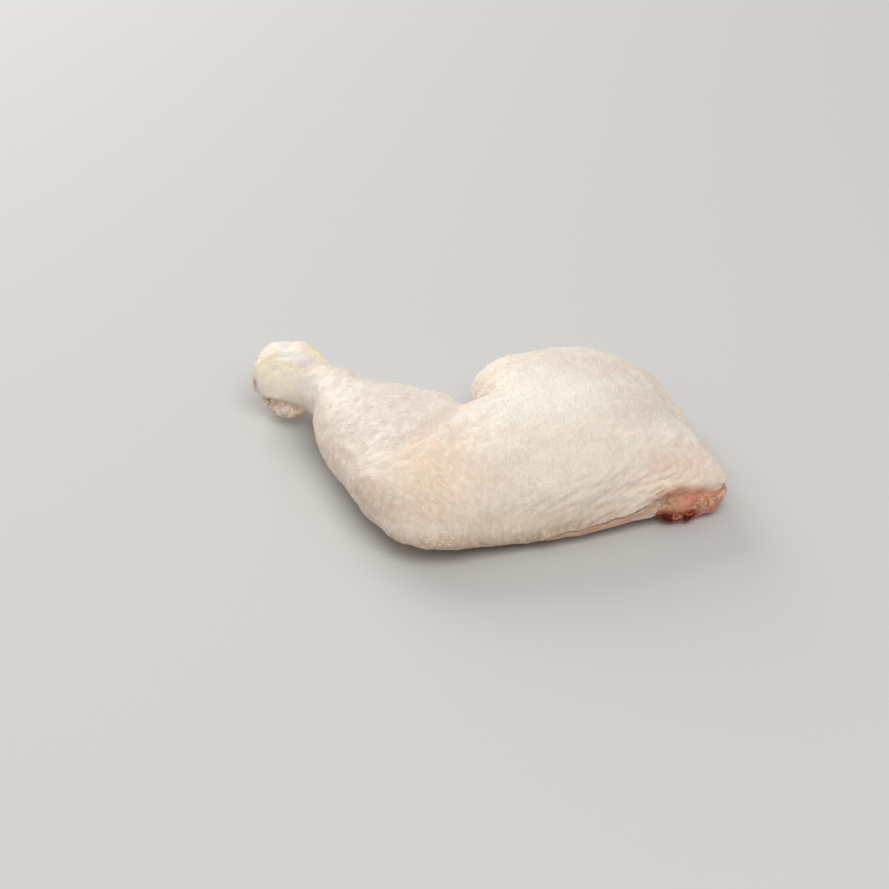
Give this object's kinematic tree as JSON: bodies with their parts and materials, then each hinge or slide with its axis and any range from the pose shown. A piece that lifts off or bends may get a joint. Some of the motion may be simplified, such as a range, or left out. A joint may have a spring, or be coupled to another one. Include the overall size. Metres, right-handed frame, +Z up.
{
  "type": "raw chicken leg quarter",
  "caption": "Raw chicken leg quarter with its skin on: drumstick and thigh joined at a bent knee, lying on its inner side, cut meat at the hip.",
  "frame": {"origin": "middle of the footprint, on the surface the leg lies on", "axes": "+X from the hock knuckle towards the cut hip, +Y from the knee towards the back of the thigh, +Z up, out of the skin side"},
  "size_m": [0.2154, 0.1512, 0.0406],
  "materials": {
    "skin": "moist raw skin, soft sheen"
  },
  "bodies": {
    "root": {"leg_quarter": "skin"}
  },
  "joints": []
}
